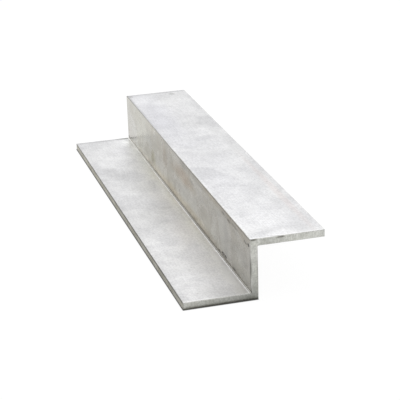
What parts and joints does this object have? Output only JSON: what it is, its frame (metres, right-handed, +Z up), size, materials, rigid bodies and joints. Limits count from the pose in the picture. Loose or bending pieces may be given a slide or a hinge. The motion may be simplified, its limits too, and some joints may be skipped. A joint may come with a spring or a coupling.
{
  "type": "z-section steel bar",
  "caption": "Solid length of Z-section bar: an upright web with a lower flange to one side and an upper flange to the other, square outer corners and sawn ends.",
  "frame": {"origin": "mid-length, on the middle of the web, on the underside of the lower flange, which is the centre of the bounding box's base", "axes": "+Y along the length, +Z up from the lower flange to the upper flange, +X across the section towards the side of the upper flange"},
  "size_m": [0.057, 0.205, 0.025],
  "materials": {
    "steel": "bright bare metal with a fine lengthwise grain, cloudy marks and sawn ends"
  },
  "bodies": {
    "root": {"z_section_bar": "steel"}
  },
  "joints": []
}
